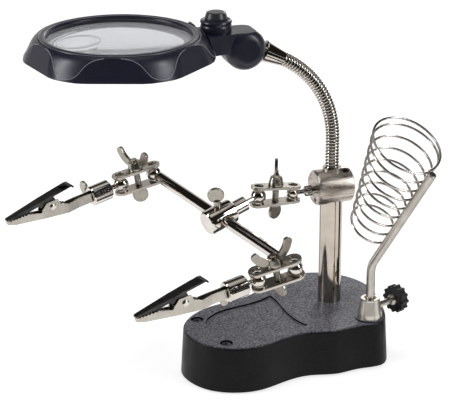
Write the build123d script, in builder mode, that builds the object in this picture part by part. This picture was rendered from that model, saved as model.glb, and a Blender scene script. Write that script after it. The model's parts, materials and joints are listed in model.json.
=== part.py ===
"""Helping hands stand: a magnifier on a gooseneck, two spring clips on ball joints and an iron holder.

Millimetres. The origin is on the resting plane, on the post's axis. +Z is up, and -X runs along the
base towards its round front lobe, under the magnifier.
"""

import os
from math import cos, radians, sin

from build123d import *

# ---------------------------------------------------------------- driving dimensions
BASE_TOP = 31.0
BASE_WALL = 3.0
PAD_THICK = 1.0
RECESS_DEPTH = 1.2
POST_R = 7.6
DRUM_Z = 111.2
DRUM_R = 11.5
DRUM_HALF = 12.3
DRUM_AZIMUTH = -14.0
STUD_REACH = 27.5
STUD_DROP = 1.4
NECK_R = 4.35
NECK_STRAIGHT_TOP = 144.0
NECK_BEND_R = 62.7
NECK_BEND = 64.0
FERRULE_LENGTH = 14.5
LENS_AZIMUTH = 164.0
LENS_REACH = 141.0
LENS_TOP = 225.7
LENS_R = 45.0
RIM_R = 49.0
HEAD_DEPTH = 15.2
FACETS = 6
FACET_TURN = 40.5
FACET_TOP = 50.0  # distance of a facet from the lens's axis at the rim
FACET_FOOT = 55.0  # and at the foot of the skirt
FACET_CORNER = 30.0
BALL_R = 5.0
SMALL_BALL_R = 4.0
PLATE_SPAN = 23.5
PLATE_WIDTH = 10.5
PLATE_THICK = 1.8
PLATE_GAP = 5.05
SMALL_PLATE_GAP = 3.95
SEAT_R = 3.0
SEAT_CLEARANCE = 0.2
ROD_R = 3.65
CLAMP_R = 8.0
CLAMP_LENGTH = 20.0
BARREL_R = 6.6
BARREL_START = 9.5
BARREL_LENGTH = 14.0
HOLDER_ROD_R = 2.8
HOLDER_TILT = 33.5
WIRE_R = 0.8
FIT = 0.08  # radial running clearance of a turning pin

os.makedirs("parts", exist_ok=True)


# ---------------------------------------------------------------- helpers
def direction(azimuth, elevation=0.0):
    """Unit vector from its compass angle about +Z and its height above the horizontal, in degrees."""
    flat = cos(radians(elevation))
    return Vector(flat * cos(radians(azimuth)), flat * sin(radians(azimuth)), sin(radians(elevation)))


def save(part, name):
    """Label one finished piece and write it."""
    part.label = name
    export_step(part, f"parts/{name}.step")


def turned(place, outline):
    """Solid of revolution about the place's z axis, from a closed outline of (radius, height) corners."""
    side = Plane(place.origin, x_dir=place.x_dir, z_dir=place.y_dir * -1)
    with BuildPart() as body:
        with BuildSketch(side):
            with BuildLine():
                Polyline(*outline, close=True)
            make_face()
        revolve(axis=Axis(place.origin, place.z_dir))
    return body.part


def rod_along(place, radius, start, end):
    """Plain round bar on the place's z axis."""
    with BuildPart() as bar:
        with BuildSketch(place.offset(start)):
            Circle(radius)
        extrude(amount=end - start)
    return bar.part


def at(place, x=0.0, y=0.0, z=0.0):
    """Point given in a place's own coordinates."""
    return place.from_local_coords(Vector(x, y, z))


def turned_place(place, angle, origin=None):
    """The same place spun about its own z axis, and moved to another origin."""
    x_dir = place.x_dir * cos(radians(angle)) + place.y_dir * sin(radians(angle))
    return Plane(origin or place.origin, x_dir=x_dir, z_dir=place.z_dir)


def pan_screw(place, length, head_r, shank_r):
    """Cross-recessed pan-head screw, its head above the place and its shank below."""
    with BuildPart() as screw:
        head = [(head_r, 0), (head_r * 0.8, 1.6), (0, 1.9)]
        add(turned(place, [(0, -length), (shank_r, -length), (shank_r, 0), *head]))
        with BuildSketch(place.offset(1.0)):
            Rectangle(head_r * 1.1, 0.7)
            Rectangle(0.7, head_r * 1.1)
        extrude(amount=2, mode=Mode.SUBTRACT)
    return screw.part


def paddle(place, start, reach, radius, thick, neck_r):
    """Flat round finger paddle on a neck that runs along the place's z axis; its face looks along y."""
    middle = Plane(at(place, z=reach), x_dir=place.x_dir, z_dir=place.y_dir)
    with BuildPart() as finger:
        with BuildSketch(middle.offset(-thick / 2)):
            Circle(radius)
        extrude(amount=thick)
        fillet(finger.edges(), radius=thick * 0.3)
        add(rod_along(place, neck_r, start, reach - radius + 1.5))
    return finger.part


# ---------------------------------------------------------------- base
OUTLINE_MIDDLE = -37.0
BASE_OUTLINE = [
    (-110, 0), (-99, 24.5), (-74, 35.5), (-45, 35.5), (-18, 44), (8, 47.5), (28, 35), (36.4, 6),
    (29, -16), (17.5, -37), (4, -49), (-12, -45.5), (-28, -43), (-43, -35.5), (-62, -33.5),
    (-82, -34), (-101, -24),
]  # fmt: skip


def base_outline(grow_x, grow_y):
    """The base's outline, scaled about its middle."""
    return [((x - OUTLINE_MIDDLE) * grow_x + OUTLINE_MIDDLE, y * grow_y) for x, y in BASE_OUTLINE]


def base_block(low, high, low_grow, high_grow):
    """Solid between two scaled outlines."""
    with BuildPart() as block:
        for height, grow in ((low, low_grow), (high, high_grow)):
            with BuildSketch(Plane.XY.offset(height)):
                with BuildLine():
                    Spline(*base_outline(*grow), periodic=True)
                make_face()
        loft(ruled=True)
    return block.part


INNER = (0.955, 0.92)
PAD_GROW = (0.975, 0.965)
FLOOR_LOW, FLOOR_HIGH = PAD_THICK, PAD_THICK + 2.0
CAVITY_TOP = BASE_TOP - BASE_WALL
BATTERY_X, BATTERY_LENGTH, BATTERY_R, BATTERY_PITCH = -70.0, 44.5, 5.2, 10.8
BAY = (50.0, 36.0)
SOCKET_X, SOCKET_Y = 3.0, -39.0
TOP_SCREWS = [(-91.0, 22.5), (-96.0, -18.0)]
COVER_SCREWS = [(-36.0, 25.0), (-36.0, -25.0), (18.0, 24.0)]

with BuildPart() as base_shell:
    add(base_block(PAD_THICK, BASE_TOP, (1.025, 1.03), (1.0, 1.0)))
    fillet(base_shell.faces().sort_by(Axis.Z)[-1].edges(), radius=1.6)
    add(base_block(PAD_THICK, CAVITY_TOP, INNER, INNER), mode=Mode.SUBTRACT)
    with BuildSketch(Plane.XY.offset(BASE_TOP - RECESS_DEPTH)):
        with BuildLine():
            Spline(
                (-28.8, 27.5), (-47, 24.3), (-70, 25.2), (-86.5, 18.2), (-94, 2), (-86, -18), (-66, -25),
                (-37, -25.5),
            )  # fmt: skip
            Spline((-37, -25.5), (-37.8, -10), (-33, 9), (-28.8, 27.5))
        make_face()
    extrude(amount=RECESS_DEPTH, mode=Mode.SUBTRACT)
    with Locations(*[Location((x, y, BASE_TOP)) for x, y in TOP_SCREWS]):
        CounterBoreHole(radius=1.8, counter_bore_radius=4.2, counter_bore_depth=2.2, depth=BASE_WALL)
    with Locations(Location((0, 0, BASE_TOP)), Location((SOCKET_X, SOCKET_Y, BASE_TOP))):
        Hole(radius=3.2, depth=BASE_WALL)
    # Screw bosses: two under the recess corners, three for the bottom cover.
    with BuildSketch(Plane.XY.offset(FLOOR_HIGH)):
        with Locations(*COVER_SCREWS):
            Circle(4)
            Circle(1.7, mode=Mode.SUBTRACT)
    extrude(amount=CAVITY_TOP - FLOOR_HIGH)
    # Raised black ring at the foot of the holder socket.
    with BuildSketch(Plane.XY.offset(BASE_TOP)):
        with Locations((SOCKET_X, SOCKET_Y)):
            Circle(9.4)
            Circle(8.1, mode=Mode.SUBTRACT)
    extrude(amount=0.8)
save(base_shell.part, "base_shell")

with BuildPart() as base_cover:
    add(base_block(FLOOR_LOW, FLOOR_HIGH, (0.95, 0.91), (0.95, 0.91)))
    with BuildSketch(Plane.XY.offset(FLOOR_LOW)):
        with Locations((BATTERY_X, 0)):
            Rectangle(*BAY)
        with Locations(*COVER_SCREWS):
            Circle(1.8)
    extrude(amount=3, mode=Mode.SUBTRACT)
    # Battery box moulded on the inside of the cover.
    with BuildSketch(Plane.XY.offset(FLOOR_HIGH - 1)):
        with Locations((BATTERY_X, 0)):
            Rectangle(BAY[0] + 3, BAY[1] + 3)
            Rectangle(BATTERY_LENGTH + 1, 3 * BATTERY_PITCH + 0.4, mode=Mode.SUBTRACT)
    extrude(amount=13)
    with BuildSketch(Plane.XY.offset(FLOOR_LOW)):
        with Locations((BATTERY_X, 0)):
            Rectangle(*BAY)
    extrude(amount=2.1, mode=Mode.SUBTRACT)
    with BuildSketch(Plane.XY.offset(FLOOR_HIGH + 12)):
        with Locations((BATTERY_X, 0)):
            Rectangle(BAY[0] + 3, BAY[1] + 3)
    extrude(amount=1.2)
save(base_cover.part, "base_cover")

with BuildPart() as rubber_pad:
    add(base_block(0, PAD_THICK - 0.02, PAD_GROW, PAD_GROW))
    with BuildSketch(Plane.XY.offset(-1)):
        with Locations((BATTERY_X, 0)):
            RectangleRounded(BAY[0] + 2, BAY[1] + 2, 3)
    extrude(amount=4, mode=Mode.SUBTRACT)
save(rubber_pad.part, "rubber_pad")

with BuildPart() as battery_door:
    with BuildSketch(Plane.XY.offset(FLOOR_LOW)):
        with Locations((BATTERY_X, 0)):
            Rectangle(BAY[0] - 0.6, BAY[1] - 0.6)
            with Locations((-BAY[0] / 2 + 6, 0)):
                SlotOverall(12, 2.4, rotation=90, mode=Mode.SUBTRACT)
    extrude(amount=2.0)
save(battery_door.part, "battery_door")

with BuildPart() as batteries:
    for row in (-1, 0, 1):
        foot = (BATTERY_X - BATTERY_LENGTH / 2, row * BATTERY_PITCH, FLOOR_HIGH + 6.2)
        sleeve = [(0, 0), (BATTERY_R, 0), (BATTERY_R, 43.4)]
        cap = [(1.9, 43.4), (1.9, BATTERY_LENGTH), (0, BATTERY_LENGTH)]
        add(turned(Plane(foot, x_dir=(0, 0, 1), z_dir=(1, 0, 0)), [*sleeve, *cap]))
save(batteries.part, "batteries")

with BuildPart() as ballast_plate:
    add(base_block(FLOOR_HIGH + 0.1, FLOOR_HIGH + 14, (0.93, 0.88), (0.93, 0.88)))
    with BuildSketch(Plane.XY.offset(FLOOR_HIGH)):
        with Locations((BATTERY_X, 0)):
            Rectangle(80, 120)
        with Locations(*COVER_SCREWS):
            Circle(4.8)
    extrude(amount=20, mode=Mode.SUBTRACT)
save(ballast_plate.part, "ballast_plate")

with BuildPart() as base_screws:
    for x, y in TOP_SCREWS:
        add(pan_screw(Plane((x, y, BASE_TOP - 2.2)), 9, 3.4, 1.7))
    for x, y in COVER_SCREWS:
        under = Plane((x, y, FLOOR_LOW + 1.9), x_dir=(1, 0, 0), z_dir=(0, 0, -1))
        add(rod_along(under, 1.6, -14, 1.8))
    # Hexagon bolts that hold the post and the socket from inside the base.
    for x, y, top in ((0.0, 0.0, BASE_TOP + 16), (SOCKET_X, SOCKET_Y, BASE_TOP + 4.0)):
        with BuildSketch(Plane.XY.offset(CAVITY_TOP - 4)):
            with Locations((x, y)):
                RegularPolygon(5, 6)
        extrude(amount=4)
        with BuildSketch(Plane.XY.offset(CAVITY_TOP)):
            with Locations((x, y)):
                Circle(3.0)
        extrude(amount=top - CAVITY_TOP)
save(base_screws.part, "base_screws")

# ---------------------------------------------------------------- post and drum
POST_TOP = DRUM_Z + 2
post_outline = [
    (3.1, BASE_TOP), (POST_R, BASE_TOP), (POST_R, POST_TOP - 0.8), (POST_R - 0.8, POST_TOP),
    (6.4, POST_TOP), (6.4, BASE_TOP + 18), (3.1, BASE_TOP + 18),
]  # fmt: skip
with BuildPart() as post_tube:
    add(turned(Plane.XY, post_outline))
save(post_tube.part, "post_tube")

DRUM_DIR = direction(DRUM_AZIMUTH)
DRUM = Plane((0, 0, DRUM_Z), x_dir=DRUM_DIR, z_dir=(0, 0, 1))
DRUM_AXIS = Plane(at(DRUM, -DRUM_HALF), x_dir=(0, 0, 1), z_dir=DRUM_DIR)
# The drum's stud lies along the drum, a little under its middle, from its ball into the left face.
BALL_1 = at(DRUM, -STUD_REACH, 0, -STUD_DROP)
STUD_1 = Plane(BALL_1, x_dir=(0, 0, 1), z_dir=DRUM_DIR)
PLUG_LEAN = 18.0
plug_up = Vector(0, 0, cos(radians(PLUG_LEAN))) - DRUM.y_dir * sin(radians(PLUG_LEAN))
PLUG_PLACE = Plane(at(DRUM, 7.7) + plug_up * DRUM_R, x_dir=DRUM_DIR, z_dir=plug_up)
NECK_SEAT = DRUM_Z + 5.5
STUD_HOLE_R = 2.4
STUD_HOLE_END = STUD_REACH - POST_R - 1.0

with BuildPart() as drum_clamp:
    with BuildSketch(DRUM_AXIS):
        Circle(DRUM_R)
    extrude(amount=2 * DRUM_HALF)
    chamfer(drum_clamp.edges(), length=1.0)
    add(rod_along(Plane.XY, 6.1, DRUM_Z + 8, DRUM_Z + 13.2))
    with BuildSketch(Plane.XY.offset(DRUM_Z - DRUM_R - 1)):
        Circle(POST_R + FIT)
    extrude(amount=POST_TOP + 0.2 - (DRUM_Z - DRUM_R - 1), mode=Mode.SUBTRACT)
    with BuildSketch(Plane.XY.offset(NECK_SEAT)):
        Circle(NECK_R + 0.15)
    extrude(amount=12, mode=Mode.SUBTRACT)
    add(rod_along(STUD_1, STUD_HOLE_R + FIT, 8, STUD_HOLE_END), mode=Mode.SUBTRACT)
    add(rod_along(PLUG_PLACE, 2.9, -3.2, 2), mode=Mode.SUBTRACT)
    # Clamping slit under the ball stud.
    with BuildSketch(DRUM.offset(-DRUM_R - 1)):
        with Locations((-10.5, -2)):
            Rectangle(8, 2.4)
    extrude(amount=6.0, mode=Mode.SUBTRACT)
save(drum_clamp.part, "drum_clamp")

with BuildPart() as drum_set_screw:
    add(rod_along(PLUG_PLACE, 2.9, -3.2, -0.5))
    with BuildSketch(PLUG_PLACE.offset(-2.2)):
        RegularPolygon(1.5, 6)
    extrude(amount=4, mode=Mode.SUBTRACT)
save(drum_set_screw.part, "drum_set_screw")


def ball_stud(place, ball_r, shank_r, shank_end, foot):
    """Ball at the place's origin, its shank running along z to a foot of (radius, height) corners."""
    with BuildPart() as stud:
        with Locations(place):
            Sphere(ball_r)
        add(turned(place, [(0, 0), (shank_r, 0), (shank_r, shank_end), *foot]))
    return stud.part


stud_face = STUD_REACH - DRUM_HALF
drum_foot = [
    (3.3, 8.6), (3.5, 9.2), (3.5, stud_face - 2.0), (STUD_HOLE_R, stud_face - 1.6),
    (STUD_HOLE_R, STUD_HOLE_END - 0.2), (0, STUD_HOLE_END - 0.2),
]  # fmt: skip
save(ball_stud(STUD_1, SMALL_BALL_R, 1.5, 8.4, drum_foot), "drum_ball_stud")

# ---------------------------------------------------------------- gooseneck
REACH_DIR = direction(LENS_AZIMUTH)
bend_start = Vector(0, 0, NECK_STRAIGHT_TOP)


def neck_point(angle):
    """Point of the neck's bend after it has turned through an angle."""
    out = NECK_BEND_R * (1 - cos(radians(angle)))
    return bend_start + REACH_DIR * out + Vector(0, 0, NECK_BEND_R * sin(radians(angle)))


# The neck is split where its bend begins: a dome below and a matching hollow above.
SPLIT_R = NECK_R + 0.08
with BuildPart() as gooseneck_lower:
    add(rod_along(Plane.XY, NECK_R, NECK_SEAT + 0.2, NECK_STRAIGHT_TOP))
    with Locations(bend_start):
        Sphere(NECK_R)
save(gooseneck_lower.part, "gooseneck_lower")

with BuildPart() as gooseneck_upper:
    with BuildLine():
        ThreePointArc(bend_start, neck_point(NECK_BEND / 2), neck_point(NECK_BEND))
    with BuildSketch(Plane(bend_start)):
        Circle(NECK_R)
    sweep()
    with Locations(bend_start):
        Sphere(SPLIT_R, mode=Mode.SUBTRACT)
save(gooseneck_upper.part, "gooseneck_upper")

# ---------------------------------------------------------------- magnifier head
HEAD = Plane(REACH_DIR * LENS_REACH + Vector(0, 0, LENS_TOP), x_dir=REACH_DIR * -1, z_dir=(0, 0, 1))
KNUCKLE_X, KNUCKLE_Z, KNUCKLE_R, KNUCKLE_HALF = 80.17, -12.85, 13.3, 12.4
BODY_SHIFT = (-1.2, -2.4)
NECK_TOP = -4.0
KNUCKLE = Plane(at(HEAD, KNUCKLE_X, 0, KNUCKLE_Z), x_dir=HEAD.x_dir, z_dir=HEAD.y_dir * -1)
NECK_END = neck_point(NECK_BEND)
NECK_END_DIR = REACH_DIR * sin(radians(NECK_BEND)) + Vector(0, 0, cos(radians(NECK_BEND)))
FERRULE = Plane(NECK_END, x_dir=HEAD.y_dir, z_dir=NECK_END_DIR)
PIVOT_R = 2.5
PIVOT_SEAT = -KNUCKLE_HALF + 3.0
EYE_R = 6.0

with BuildPart() as neck_ferrule:
    cone = [(0, 0.1), (4.9, 0.1), (7.1, FERRULE_LENGTH - 0.6), (6.6, FERRULE_LENGTH)]
    stem = [(3.6, FERRULE_LENGTH), (3.6, FERRULE_LENGTH + 10), (0, FERRULE_LENGTH + 10)]
    add(turned(FERRULE, [*cone, *stem]))
    with BuildSketch(KNUCKLE.offset(-3)):
        Circle(EYE_R)
    extrude(amount=6)
    with BuildSketch(KNUCKLE.offset(-5)):
        Circle(PIVOT_R + FIT)
    extrude(amount=10, mode=Mode.SUBTRACT)
save(neck_ferrule.part, "neck_ferrule")

NECK_SPLIT = -15.0


def facet_block(grow):
    """Tapered six-sided block about the lens's axis, whose sides cut the skirt's arched facets."""
    lean = (FACET_FOOT - FACET_TOP) / HEAD_DEPTH
    with BuildPart() as block:
        for height in (-HEAD_DEPTH - 3, 3):
            distance = FACET_TOP + grow - lean * height
            with BuildSketch(HEAD.offset(height)) as outline:
                RegularPolygon(distance, FACETS, major_radius=False, rotation=FACET_TURN)
                fillet(outline.vertices(), radius=FACET_CORNER)
        loft(ruled=True)
    return block.part


def knuckle_shape(inset):
    """The rounded knuckle block with the neck that joins it to the lens frame, drawn in by an inset."""
    half = KNUCKLE_HALF - inset
    with BuildPart() as shape:
        with BuildSketch(KNUCKLE.offset(-half)):
            with Locations(BODY_SHIFT):
                Circle(KNUCKLE_R - inset)
        extrude(amount=2 * half)
        fillet(shape.edges().filter_by(GeomType.CIRCLE), radius=7.0 - inset)
        with BuildSketch(HEAD.offset(NECK_SPLIT - 1 + inset)):
            with BuildLine():
                Polyline((49, -15 + inset), (76, -9 + inset), (76, 9 - inset), (49, 15 - inset), close=True)
            make_face()
        extrude(amount=-NECK_SPLIT + 0.6 - 2 * inset)
        with BuildSketch(HEAD.offset(NECK_TOP - inset)):
            with Locations((KNUCKLE_X, 0)):
                Rectangle(60, 60)
        extrude(amount=20, mode=Mode.SUBTRACT)
    return shape.part


def window(place, angle_low, angle_high, half_width):
    """Slot through the knuckle's wall for the ferrule's stem, as a pie slice about the pivot."""
    with BuildPart() as slice_part:
        with BuildSketch(place.offset(-half_width)):
            with BuildLine():
                Polyline(
                    (0, 0),
                    (30 * cos(radians(angle_low)), 30 * sin(radians(angle_low))),
                    (30 * cos(radians(angle_high)), 30 * sin(radians(angle_high))),
                    close=True,
                )
            make_face()
        extrude(amount=2 * half_width)
    return slice_part.part


STEM_ANGLE = NECK_BEND - 90
knuckle_hollow = knuckle_shape(2.2)
outer_knuckle = knuckle_shape(0)
stem_window = window(KNUCKLE, STEM_ANGLE - 32, STEM_ANGLE + 50, 4.2)
with BuildPart() as half_space:
    with BuildSketch(HEAD.offset(NECK_SPLIT + 3.5)):
        with Locations((KNUCKLE_X, 0)):
            Rectangle(70, 70)
    extrude(amount=40)
BUTTON_X, COLLAR_R, CAP_R = 62.0, 10.0, 7.0
BUTTON = Plane(at(HEAD, BUTTON_X, 0, -0.4), x_dir=HEAD.x_dir, z_dir=(0, 0, 1))

for name, mode in (("neck_upper_shell", Mode.INTERSECT), ("neck_lower_shell", Mode.SUBTRACT)):
    with BuildPart() as shell:
        add(outer_knuckle)
        add(knuckle_hollow, mode=Mode.SUBTRACT)
        add(stem_window, mode=Mode.SUBTRACT)
        add(rod_along(KNUCKLE, PIVOT_R, -30, KNUCKLE_HALF - 1.0), mode=Mode.SUBTRACT)
        add(rod_along(KNUCKLE, 4.1, -30, PIVOT_SEAT), mode=Mode.SUBTRACT)
        add(rod_along(BUTTON, 8.4, -8, 8), mode=Mode.SUBTRACT)
        add(facet_block(0.02), mode=Mode.SUBTRACT)
        add(half_space.part, mode=mode)
    save(shell.part, name)

with BuildPart() as knuckle_pivot:
    add(rod_along(KNUCKLE, PIVOT_R - 0.01, PIVOT_SEAT, KNUCKLE_HALF - 1.05))
    add(turned(KNUCKLE.offset(PIVOT_SEAT), [(0, 0), (4.0, 0), (4.0, -1.4), (3.5, -1.9), (0, -1.9)]))
save(knuckle_pivot.part, "knuckle_pivot")

ring_outline = [
    (LENS_R + 0.4, -6.0), (LENS_R + 0.4, -3.4), (LENS_R - 0.8, -2.2), (LENS_R + 0.6, -0.3), (LENS_R + 2.2, 0),
    (48.4, -0.5), (RIM_R, -2.6), (RIM_R, -6.0),
]  # fmt: skip
with BuildPart() as lens_ring:
    add(turned(HEAD, ring_outline))
save(lens_ring.part, "lens_ring")

LENS_SIDE = Plane(HEAD.origin, x_dir=HEAD.x_dir, z_dir=HEAD.y_dir * -1)
with BuildPart() as lens_skirt:
    with BuildSketch(LENS_SIDE):
        with BuildLine():
            Spline((49.9, -0.8), (51.9, -2.3), (53.6, -4.6), (55.4, -8.1), (57.2, -11.8), (58.7, -14.4))
            Polyline(
                (58.7, -14.4), (58.4, -HEAD_DEPTH), (RIM_R + 0.5, -HEAD_DEPTH), (RIM_R + 0.5, -9.5),
                (LENS_R + 1.0, -9.5), (LENS_R + 1.0, -6.0), (RIM_R + 0.05, -6.0), (RIM_R + 0.05, -1.2),
                (49.9, -0.8),
            )  # fmt: skip
        make_face()
    revolve(axis=Axis(HEAD.origin, (0, 0, 1)))
    add(facet_block(0), mode=Mode.INTERSECT)
    add(rod_along(BUTTON, COLLAR_R + FIT, -8, 8), mode=Mode.SUBTRACT)
save(lens_skirt.part, "lens_skirt")

BULGE = Plane(at(HEAD, -25.5, 0, -6.2), x_dir=HEAD.x_dir, z_dir=(0, 0, -1))
with BuildPart() as main_lens:
    with BuildSketch(LENS_SIDE):
        with BuildLine():
            Polyline((0, -10), (0, -1.6))
            ThreePointArc((0, -1.6), (24, -2.5), (LENS_R + 0.2, -4.6))
            Line((LENS_R + 0.2, -4.6), (LENS_R + 0.2, -6.0))
            ThreePointArc((LENS_R + 0.2, -6.0), (24, -9.0), (0, -10))
        make_face()
    revolve(axis=Axis(HEAD.origin, (0, 0, 1)))
    # Stronger spot lens moulded on the underside, near the front edge.
    add(turned(BULGE, [(0, 0), (14, 0), (14, 1.6), (11, 3.8), (6.5, 5.4), (0, 6.1)]))
save(main_lens.part, "main_lens")

LED_SPOTS = [150, 210]
LED_REACH = 47.6
with BuildPart() as led_strip:
    with BuildSketch(HEAD.offset(-12.6)):
        Circle(RIM_R + 0.4)
        Circle(LENS_R + 0.8, mode=Mode.SUBTRACT)
        with Locations((60, 0)):
            Rectangle(150, 200, mode=Mode.SUBTRACT)
    extrude(amount=1.4)
    for spot in LED_SPOTS:
        centre = at(HEAD, LED_REACH * cos(radians(spot)), LED_REACH * sin(radians(spot)), -12.6)
        place = Plane(centre, x_dir=HEAD.x_dir, z_dir=(0, 0, -1))
        add(turned(place, [(0, 0), (1.5, 0), (1.5, 1.2), (1.1, 1.7), (0, 1.9)]))
save(led_strip.part, "led_strip")

with BuildPart() as switch_collar:
    tiers = [
        (CAP_R + 0.2, -6.4), (CAP_R + 0.2, 3.9), (8.6, 4.3), (COLLAR_R - 0.4, 3.9), (COLLAR_R, 3.0),
        (COLLAR_R - 0.4, 2.2), (9.4, 1.2), (9.8, 0.2), (9.8, -3.58), (8.38, -3.58), (8.38, -6.4),
    ]  # fmt: skip
    add(turned(BUTTON, tiers))
save(switch_collar.part, "switch_collar")

with BuildPart() as switch_button:
    cap = [(0, -3.2), (CAP_R, -3.2), (CAP_R, 5.6), (CAP_R - 1.0, 8.6), (CAP_R - 2.0, 9.0), (0, 9.1)]
    add(turned(BUTTON, cap))
save(switch_button.part, "switch_button")


# ---------------------------------------------------------------- plate pairs
def wing_nut(place, base_z, spin):
    """Wing nut standing on the place at a height, its wings turned by an angle about z."""
    seat = turned_place(place, spin, at(place, z=base_z))
    wings = Plane(seat.origin, x_dir=seat.x_dir, z_dir=seat.y_dir * -1)
    with BuildPart() as nut:
        add(turned(seat, [(0, 0), (4.9, 0), (4.9, 1.2), (3.9, 5.2), (3.4, 5.6), (0, 5.6)]))
        for side in (1, -1):
            with BuildSketch(wings.offset(-1.0)):
                with BuildLine():
                    Line((side * 2.6, 0.9), (side * 5.6, 1.4))
                    Spline((side * 5.6, 1.4), (side * 11.0, 5.0), (side * 14.4, 10.8))
                    ThreePointArc((side * 14.4, 10.8), (side * 13.0, 13.4), (side * 9.6, 13.2))
                    Spline((side * 9.6, 13.2), (side * 6.8, 8.4), (side * 2.6, 5.2))
                    Line((side * 2.6, 5.2), (side * 2.6, 0.9))
                make_face()
            extrude(amount=2.0)
        add(rod_along(seat, 2.1, -1, 8), mode=Mode.SUBTRACT)
    return nut.part


def gripping_plate(place, left_lip, right_lip):
    """Rounded plate standing on the place, with two ball seats, their lips beneath it and a screw hole."""
    with BuildPart() as plate:
        with BuildSketch(place):
            SlotCenterToCenter(PLATE_SPAN, PLATE_WIDTH)
            with Locations((-PLATE_SPAN / 2, 0), (PLATE_SPAN / 2, 0)):
                Circle(SEAT_R, mode=Mode.SUBTRACT)
            Circle(2.3, mode=Mode.SUBTRACT)
        extrude(amount=PLATE_THICK)
        top_edges = plate.edges().group_by(Axis(place.origin, place.z_dir))[-1]
        fillet(top_edges.sort_by(SortBy.LENGTH)[-4:], radius=0.35)
        for x, lip in ((-PLATE_SPAN / 2, left_lip), (PLATE_SPAN / 2, right_lip)):
            with BuildSketch(place):
                with Locations((x, 0)):
                    Circle(SEAT_R + 0.9)
                    Circle(SEAT_R, mode=Mode.SUBTRACT)
            extrude(amount=-lip)
    return plate.part


def seat_lip(ball_r, gap):
    """How far a seat's lip must reach inward to meet its ball."""
    return gap - (ball_r**2 - SEAT_R**2) ** 0.5 - SEAT_CLEARANCE


def plate_pair(name, place, right_ball_r, right_gap, wing_spin, paddle_spin):
    """Two plates, their screw with a finger paddle, and a wing nut. The balls lie on the place's x axis."""
    middle_gap = (PLATE_GAP + right_gap) / 2
    splay = (PLATE_GAP - right_gap) / PLATE_SPAN
    lips = (seat_lip(BALL_R, PLATE_GAP), seat_lip(right_ball_r, right_gap))
    for side, label in ((1, "upper"), (-1, "lower")):
        x_dir = place.x_dir - place.z_dir * splay * side
        z_dir = (place.z_dir + place.x_dir * splay * side) * side
        tilted = Plane(at(place, z=side * middle_gap), x_dir=x_dir, z_dir=z_dir)
        save(gripping_plate(tilted, *lips), f"{name}_{label}_plate")
    stack = middle_gap + PLATE_THICK + 0.15 + splay * 5
    flipped = Plane(place.origin, x_dir=place.x_dir, z_dir=place.z_dir * -1)
    with BuildPart() as screw:
        add(rod_along(place, 1.95, -stack - 1, stack + 7.2))
        add(rod_along(flipped, 3.4, stack, stack + 1.0))
        add(paddle(turned_place(flipped, paddle_spin), stack, stack + 4.6, 5.3, 2.0, 2.4))
    save(screw.part, f"{name}_screw")
    save(wing_nut(place, stack, wing_spin), f"{name}_wing_nut")


def square_to(x_dir, near):
    """The unit vector nearest to a wanted one that is square to x_dir."""
    flat = near - x_dir * near.dot(x_dir)
    return flat.normalized()


MIDDLE_X = direction(-15.6, -2.0)
MIDDLE_UP = square_to(MIDDLE_X, Vector(0, 0, 1))
MIDDLE = Plane(BALL_1 - MIDDLE_X * (PLATE_SPAN / 2), x_dir=MIDDLE_X, z_dir=MIDDLE_UP)
BALL_2 = BALL_1 - MIDDLE_X * PLATE_SPAN
plate_pair("middle", MIDDLE, SMALL_BALL_R, SMALL_PLATE_GAP, 70.0, -26.0)

# ---------------------------------------------------------------- cross clamp and rod
CLAMP_AXIS = direction(0, 14.5)  # from the clamp towards its ball
CLAMP_REACH = 31.4
CLAMP_CENTRE = BALL_2 - CLAMP_AXIS * CLAMP_REACH
ROD_DROP = 6.9
clamp_up = square_to(CLAMP_AXIS, Vector(0, 0, 1))
ROD_AXIS = Vector(0, -cos(radians(ROD_DROP)), 0) - clamp_up * sin(radians(ROD_DROP))
SCREW_UP = ROD_AXIS.cross(CLAMP_AXIS)
STUD_2 = Plane(BALL_2, x_dir=ROD_AXIS, z_dir=CLAMP_AXIS * -1)
CLAMP = Plane(CLAMP_CENTRE, x_dir=CLAMP_AXIS, z_dir=SCREW_UP)
ROD = Plane(CLAMP_CENTRE, x_dir=CLAMP_AXIS, z_dir=ROD_AXIS)
clamp_face = CLAMP_REACH - CLAMP_LENGTH / 2

clamp_foot = [
    (3.6, 10.4), (4.9, 11.2), (4.9, clamp_face - 0.15), (2.2, clamp_face - 0.15), (2.2, clamp_face + 3.4),
    (0, clamp_face + 3.4),
]  # fmt: skip
save(ball_stud(STUD_2, BALL_R, 1.6, 10.4, clamp_foot), "clamp_ball_stud")

with BuildPart() as cross_clamp:
    with BuildSketch(STUD_2.offset(clamp_face)):
        Circle(CLAMP_R)
    extrude(amount=CLAMP_LENGTH)
    chamfer(cross_clamp.edges(), length=0.9)
    add(rod_along(ROD, ROD_R + FIT, -20, 20), mode=Mode.SUBTRACT)
    for side in (1, -1):
        mouth = Plane(CLAMP_CENTRE, x_dir=CLAMP_AXIS, z_dir=ROD_AXIS * side)
        add(turned(mouth, [(0, 5.8), (ROD_R, 5.8), (ROD_R + 1.5, 8.2), (0, 8.2)]), mode=Mode.SUBTRACT)
    add(rod_along(CLAMP, 2.1, 0, 12), mode=Mode.SUBTRACT)
    add(rod_along(STUD_2, 2.2 + FIT, clamp_face - 1, clamp_face + 3.6), mode=Mode.SUBTRACT)
save(cross_clamp.part, "cross_clamp")

with BuildPart() as clamp_thumbscrew:
    add(rod_along(CLAMP, 2.0, ROD_R + 0.12, 13))
    add(paddle(turned_place(CLAMP, -33), 9, 17.0, 5.4, 2.0, 2.4))
save(clamp_thumbscrew.part, "clamp_thumbscrew")

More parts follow.
